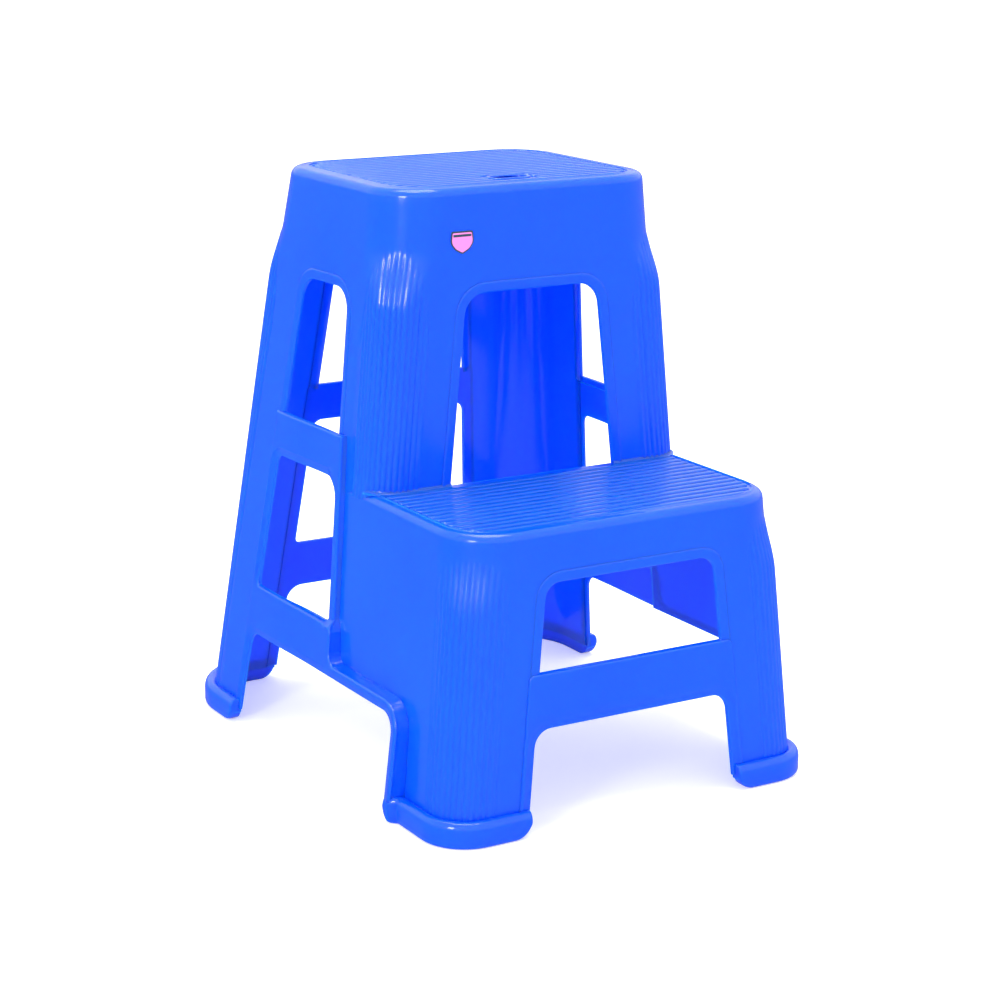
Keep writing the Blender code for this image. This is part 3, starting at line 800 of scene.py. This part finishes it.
def step_path():
    """The edge where the side frame steps down to the panel, from the top of the post to the front foot."""
    corners = [(FRONT + 0.0460, MID_HIGH), (FRONT + 0.0382, LOW_HIGH + 0.003),
               (FRONT + 0.0346, LOW_HIGH - 0.006), (FRONT + 0.0328, LOW_LOW + 0.009),
               (STRIP_FRONT, LOW_LOW + 0.009), (STRIP_FRONT - 0.001, FLOOR_CLEAR)]
    return filleted(corners, [0, 0.003, 0.003, 0.010, 0.022, 0], closed=False)


def side_frames():
    back = side_opening_back
    start = [(STRIP_REAR, FLOOR_CLEAR), (STRIP_REAR, LOW_LOW), (back(LOW_LOW), LOW_LOW),
             (back(FLOOR_CLEAR), FLOOR_CLEAR), (back(FLOOR_CLEAR) + STRIP, FLOOR_CLEAR),
             (back(MID_HIGH) + STRIP, MID_HIGH)]
    outline = filleted(start, [0, ARCH_FILLET, ARCH_FILLET, 0, 0, 0.004], closed=False) + step_path()
    hole_corners = [(FRONT + 0.0468, LOW_HIGH), (FRONT + 0.0512, MID_LOW), (back(MID_LOW), MID_LOW),
                    (back(LOW_HIGH), LOW_HIGH)]
    hole = filleted(hole_corners, [0.003, 0.016, 0.009, 0.004])

    def banded(u, v):
        if v < LOW_LOW + 0.0005 and STRIP_REAR - 0.0005 < u < back(v) + 0.0005:
            return 0.55
        if LOW_HIGH + 0.002 < v < MID_LOW + 0.003 and u < back(v) + 0.003:
            return smooth((u - FRONT - 0.056) / 0.010) * smooth((v - LOW_HIGH) / 0.012)
        return 0.0

    for side, word in ((-1, "left"), (1, "right")):
        place = on_side_frame(side)
        bm = plate([outline, hole], place, WALL + 0.0005, banded, spacing=0.005)
        nodes = [f"{word}_mid_stretcher", f"{word}_low_stretcher", f"{word}_mid_post"]
        finish_piece(f"{word}_side_frame", bm, replaces=nodes)
        step_return(f"{word}_side_return", side, place)


def step_return(name, side, place):
    """The wall that joins the side frame to the panel behind its edge."""
    path = [p for p in densify(step_path(), 0.006) if p.y > FLOOR_CLEAR - 0.0001]
    path = path[:path.index(min(path, key=lambda p: p.y)) + 1]
    rings = []
    for point, normal in zip(path, left_normals(path, closed=False)):
        deep = side_frame_x(point.x, point.y) - panel_x(point.y) + 0.0015
        ring = []
        for away, depth in ((0.00005, 0.0018), (-0.0012, deep), (WALL, deep), (WALL, 0.0018)):
            u, v = point + normal * away
            ring.append(place(u, v, depth))
        rings.append(ring)
    finish_piece(name, loop_solid(rings))


# Feet

def foot(name, side, front, wall_x, wall_y, radius, side_edge, face_edge, proud, height):
    """A collar round the foot of a leg: rounded on top, soft below, its two ends rounded in height. proud is
    how far the strip beside the side opening already stands out of the wall."""
    inward = 1 if front else -1
    lead, tail = side_edge - radius, face_edge - radius
    stops = [(0.0, radius + lead * (1 - k / 40), (-1.0, 0.0)) for k in range(40)]
    for k in range(25):
        turn = math.pi / 2 * k / 24
        stops.append((radius - radius * math.cos(turn), radius - radius * math.sin(turn),
                      (-math.cos(turn), -math.sin(turn))))
    stops += [(radius + tail * (k + 1) / 40, 0.0, (0.0, -1.0)) for k in range(40)]
    rings = []
    for p, q, way in stops:
        from_side = side_edge - q if way[1] == 0.0 else 1.0
        from_face = face_edge - p if way[0] == 0.0 else 1.0
        near_end = min(from_side, from_face)
        lift = FOOT_END_RADIUS - math.sqrt(FOOT_END_RADIUS ** 2 - max(FOOT_END_RADIUS - near_end, 0.0) ** 2)
        fade = math.sqrt(1 - max(1 - near_end / 0.002, 0.0) ** 2)
        on_strip = smooth(1 - (from_side - STRIP_WIDTH) / 0.006) if proud else 0.0
        reach = mix(COLLAR, proud + 0.0005, on_strip) - 0.0012 * (1 - fade)
        lean = on_strip * (frame_x(0.0) - frame_x(1.0))
        base = reach - COLLAR
        floor_level = min(lift, height - 0.0115)
        ring = []
        for share, up in ((0.0, -0.0004), (0.20, 0.0), (0.45, -0.0002), (0.70, -0.0012), (0.88, -0.0030),
                          (0.97, -0.0050), (1.0, -0.0074)):
            ring.append((base + COLLAR * share, height + up))
        for inset, up in ((0.0, 0.0034), (0.0004, 0.0020), (0.0012, 0.0009), (0.0022, 0.0003), (0.0034, 0.0)):
            ring.append((reach - inset, floor_level + up))
        ring += [(-WALL, floor_level), (-WALL, height - 0.002)]
        rings.append([(side * (wall_x - p - out * way[0] - lean * z), wall_y + inward * (q + out * way[1]), z)
                      for out, z in ring])
    finish_piece(name, loop_solid(rings), replaces=[name])


def feet():
    height = rear_foot_high[2]
    for side, word in ((-1, "left"), (1, "right")):
        foot(f"rear_{word}_foot", side, False, frame_x(0), back_y(0), REAR_FOOT_CORNER,
             back_y(0) - side_opening_back(0), frame_x(0) - rear_half_opening(0), 0.0, height)
        foot(f"front_{word}_foot", side, True, panel_x(0), step_front_y(0), LOWER_LEG_CORNER,
             STRIP_REAR - step_front_y(0), panel_x(0) - lower_half_opening(0),
             frame_x(0) - panel_x(0), height)


# Treads

def ridge(bm, y, low_x, high_x, floor):
    half = GROOVE_RIDGE / 2
    section = [(-half, -0.0005)]
    for step in range(9):
        across = math.cos(math.pi * (1 - step / 8))
        section.append((half * across, RIDGE_HEIGHT * (1 - across ** 4)))
    section.append((half, -0.0005))
    rings = []
    ends = (0.0, 0.0003, 0.0010, 0.0020, 0.0032)
    xs = [low_x + e for e in ends] + [high_x - e for e in reversed(ends)]
    for index, x in enumerate(xs):
        away = min(x - low_x, high_x - x) / 0.0032
        grow = math.sqrt(max(1 - (1 - min(away, 1.0)) ** 2, 0.0))
        grow = max(grow, 0.08)
        rings.append([(x, y + across * grow, floor + (up * grow if up > 0 else up))
                      for across, up in section])
    add_capped(bm, rings)


def field_half(y, half, near, far, near_radius, far_radius):
    """Half the length of a ridge at y, inside a field with rounded corners."""
    reach = half
    for edge, radius in ((y - near, near_radius), (far - y, far_radius)):
        if radius > 0 and edge < radius:
            reach = min(reach, half - radius + math.sqrt(radius ** 2 - (radius - edge) ** 2))
    return reach


def upper_ridges():
    bm = bmesh.new()
    near, far = FRONT + UPPER_FIELD[1], back_y(HEIGHT) - UPPER_FIELD[2]
    half = panel_x(HEIGHT) - UPPER_FIELD[0]
    count = int((far - near) / GROOVE_PITCH)
    first = (near + far) / 2 - GROOVE_PITCH * (count - 1) / 2
    for k in range(count):
        y = first + GROOVE_PITCH * k
        reach = field_half(y, half, near, far, 0.033, 0.032) - RIDGE_INSET
        if abs(y - SLOT_CENTRE) < SLOT_HALF_WIDTH + 0.0065:
            gap = SLOT_HALF_LENGTH + 0.0035
            ridge(bm, y, -reach, -gap, HEIGHT - RIDGE_HEIGHT)
            ridge(bm, y, gap, reach, HEIGHT - RIDGE_HEIGHT)
        else:
            ridge(bm, y, -reach, reach, HEIGHT - RIDGE_HEIGHT)
    finish_piece("upper_tread_grip", bm)


def step_ridges():
    bm = bmesh.new()
    near, far = step_front_y(STEP) + STEP_FIELD[1], FRONT - 0.001
    half = panel_x(STEP) - STEP_FIELD[0]
    for k in range(int((far - near) / GROOVE_PITCH)):
        y = near + 0.0046 + GROOVE_PITCH * k
        reach = field_half(y, half, near, far, 0.035, 0.0) - RIDGE_INSET
        ridge(bm, y, -reach, reach, STEP - RIDGE_HEIGHT)
    finish_piece("step_tread_grip", bm)


def slot_rim():
    """The raised lip round the hand slot, which turns down into it."""
    slot = slot_outline(SLOT_HALF_LENGTH, SLOT_HALF_WIDTH, SLOT_CENTRE)
    profile = ((0.0032, -0.0013), (0.0030, -0.0004), (0.0024, 0.0), (0.0010, 0.0), (0.0003, -0.0003),
               (0.0, -0.0010), (0.0, -0.0045), (0.0010, -0.0050), (0.0024, -0.0045))
    bm = bmesh.new()
    rings = []
    for point, normal in zip(slot, left_normals(slot)):
        rings.append([(point.x - normal.x * out, point.y - normal.y * out, HEIGHT + up)
                      for out, up in profile])
    verts = grid(bm, rings)
    for j in range(len(profile)):
        k = (j + 1) % len(profile)
        bm.faces.new((verts[-1][j], verts[-1][k], verts[0][k], verts[0][j]))
    finish_piece("slot_rim", bm)


def leg_fillets():
    """The small fillet where the upper front legs rise from the low tread."""
    section = ((-0.0010, 0.0024), (0.0001, 0.0024), (0.0004, 0.0012), (0.0012, 0.0004), (0.0026, 0.0001),
               (0.0026, -0.0008), (-0.0010, -0.0008))
    plan = [Vector(point[:2]) for point in upper_plan(STEP, fluted=False)]
    near = [p for p in plan if p.y < FRONT + 0.0125]
    for side, word in ((-1, "left"), (1, "right")):
        path = [p for p in near if side * p.x > upper_half_opening(STEP) - 0.001]
        path = sorted(path, key=lambda p: side * p.x)
        path.insert(0, Vector((side * upper_half_opening(STEP), path[0].y)))
        rings = []
        for point, normal in zip(path, left_normals(path, closed=False)):
            rings.append([(point.x - side * normal.x * out, point.y - side * normal.y * out, STEP + up)
                          for out, up in section])
        finish_piece(f"{word}_leg_fillet", loop_solid(rings))


def under_ribs():
    """Stiffening ribs under the treads, thinner towards their lower edge."""
    for name, top in (("upper_tread_ribs", HEIGHT), ("step_tread_ribs", STEP)):
        low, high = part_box(name)
        bm = bmesh.new()
        middle = (low[1] + high[1]) / 2
        span = high[0]
        cross = [share * span for share in (-0.66, -0.24, 0.24, 0.66)]
        runs = [((low[0], middle), (high[0], middle))]
        runs += [((x, low[1]), (x, high[1])) for x in cross]
        for (x0, y0), (x1, y1) in runs:
            along = Vector((x1 - x0, y1 - y0)).normalized()
            side = Vector((-along.y, along.x))
            rings = []
            for x, y in ((x0, y0), (x1, y1)):
                ring = []
                for half, z in ((0.0015, top - 0.0028), (0.0011, low[2] + 0.0008), (0.0006, low[2]),
                                (-0.0006, low[2]), (-0.0011, low[2] + 0.0008), (-0.0015, top - 0.0028)):
                    ring.append((x + side.x * half, y + side.y * half, z))
                rings.append(ring)
            add_capped(bm, rings)
        finish_piece(f"{name}_moulded", bm, replaces=[name])


# Sticker

def shield(half_width, height, centre_z):
    low, top = centre_z - height / 2, centre_z + height / 2
    shoulder = centre_z - 0.30 * height
    corners = [(-0.90 * half_width, top), (-half_width, centre_z), (-0.62 * half_width, shoulder),
               (0.0, low), (0.62 * half_width, shoulder), (half_width, centre_z),
               (0.90 * half_width, top)]
    return filleted(corners, [0.0012, 0.006, 0.006, 0.002, 0.006, 0.006, 0.0012], steps=6)


def sticker():
    low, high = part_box("front_label")
    centre_x = (low[0] + high[0]) / 2
    centre_z = (low[2] + high[2]) / 2
    half = (high[0] - low[0]) / 2
    height = high[2] - low[2]

    def layer(name, outline, out, mat, replaces=()):
        rings = [[on_front(centre_x + p[0], p[1], -depth) for p in outline] for depth in (0.0, out)]
        finish_piece(name, loop_solid(rings), mat, replaces=replaces)

    layer("label_border", shield(half, height, centre_z), 0.00035, TEAL, ["front_label"])
    layer("label_face", shield(half - 0.0011, height - 0.0024, centre_z), 0.00050, PINK)
    bar = [(-half + 0.0024, centre_z + 0.0044), (-half + 0.0024, centre_z + 0.0062),
           (half - 0.0024, centre_z + 0.0062), (half - 0.0024, centre_z + 0.0044)]
    layer("label_bar", bar, 0.00060, TEAL)


# Studio

def studio():
    bm = bmesh.new()
    bmesh.ops.create_grid(bm, x_segments=1, y_segments=1, size=9.0)
    mesh = bpy.data.meshes.new("floor")
    bm.to_mesh(mesh)
    bm.free()
    mat = bpy.data.materials.new("floor_white")
    mat.use_nodes = True
    shader = mat.node_tree.nodes["Principled BSDF"]
    shader.inputs["Base Color"].default_value = (0.90, 0.90, 0.90, 1)
    shader.inputs["Roughness"].default_value = 0.75
    shader.inputs["Emission Color"].default_value = (1, 1, 1, 1)
    seen = mat.node_tree.nodes.new("ShaderNodeLightPath")
    lift = mat.node_tree.nodes.new("ShaderNodeMath")
    lift.operation = "MULTIPLY"
    lift.inputs[1].default_value = 0.40
    mat.node_tree.links.new(seen.outputs["Is Camera Ray"], lift.inputs[0])
    mat.node_tree.links.new(lift.outputs["Value"], shader.inputs["Emission Strength"])
    mesh.materials.append(mat)
    floor = bpy.data.objects.new("floor", mesh)
    bpy.context.scene.collection.objects.link(floor)

    # The side walls mirror a dim surround, not the white floor
    floor.visible_glossy = False
    world = bpy.data.worlds.new("studio")
    bpy.context.scene.world = world
    world.use_nodes = True
    nodes, links = world.node_tree.nodes, world.node_tree.links
    soft = nodes["Background"]
    soft.inputs["Strength"].default_value = 1.22
    soft.inputs["Color"].default_value = (1, 1, 1, 1)
    mirrored = nodes.new("ShaderNodeBackground")
    coords = nodes.new("ShaderNodeTexCoord")
    split = nodes.new("ShaderNodeSeparateXYZ")
    links.new(coords.outputs["Generated"], split.inputs["Vector"])

    def fade(source, low, high, at_low, at_high):
        node = nodes.new("ShaderNodeMapRange")
        node.inputs["From Min"].default_value = low
        node.inputs["From Max"].default_value = high
        node.inputs["To Min"].default_value = at_low
        node.inputs["To Max"].default_value = at_high
        links.new(split.outputs[source], node.inputs["Value"])
        return node.outputs["Result"]

    strength = nodes.new("ShaderNodeMath")
    strength.operation = "ADD"
    links.new(fade("Y", -1.0, 1.0, 0.80, 0.35), strength.inputs[0])
    links.new(fade("Z", 0.0, 0.2, 0.0, 1.0), strength.inputs[1])
    links.new(strength.outputs["Value"], mirrored.inputs["Strength"])
    rays = nodes.new("ShaderNodeLightPath")
    either = nodes.new("ShaderNodeMixShader")
    links.new(rays.outputs["Is Glossy Ray"], either.inputs["Fac"])
    links.new(soft.outputs["Background"], either.inputs[1])
    links.new(mirrored.outputs["Background"], either.inputs[2])
    links.new(either.outputs["Shader"], nodes["World Output"].inputs["Surface"])

    def softbox(name, place, target, size, power):
        light = bpy.data.lights.new(name, "AREA")
        light.shape = "RECTANGLE"
        light.size, light.size_y = size
        light.energy = power
        obj = bpy.data.objects.new(name, light)
        obj.location = place
        obj.rotation_euler = (Vector(target) - Vector(place)).to_track_quat("-Z", "Y").to_euler()
        bpy.context.scene.collection.objects.link(obj)

    softbox("key", (-1.75, -1.05, 0.92), (0, -0.05, 0.36), (0.40, 0.50), 15)
    softbox("top", (0.0, 0.1, 2.4), (0, 0, 0.2), (1.4, 1.4), 38)


def photo_camera():
    azimuth, elevation, roll = math.radians(-30.867), math.radians(14.364), math.radians(0.315)
    back = Vector((math.sin(azimuth) * math.cos(elevation), -math.cos(azimuth) * math.cos(elevation),
                   math.sin(elevation)))
    right = Vector((0, 0, 1)).cross(back).normalized()
    up = back.cross(right)
    across = right * math.cos(roll) + up * math.sin(roll)
    upward = up * math.cos(roll) - right * math.sin(roll)
    camera = bpy.data.cameras.new("camera")
    camera.sensor_width = 36.0
    camera.lens = 90.35
    camera.shift_x = 0.0011
    camera.shift_y = -0.0154
    obj = bpy.data.objects.new("camera", camera)
    turn = Matrix((across, upward, back)).transposed().to_4x4()
    obj.matrix_world = Matrix.Translation((-0.9799, FRONT - 1.59226, 0.6951)) @ turn
    bpy.context.scene.collection.objects.link(obj)
    bpy.context.scene.camera = obj


photo_camera()
studio()
upper_shell()
step_shell()
bands()
front_frame()
rear_frame()
side_frames()
feet()
upper_ridges()
step_ridges()
slot_rim()
under_ribs()
leg_fillets()
sticker()
bpy.context.scene.view_settings.view_transform = "Standard"
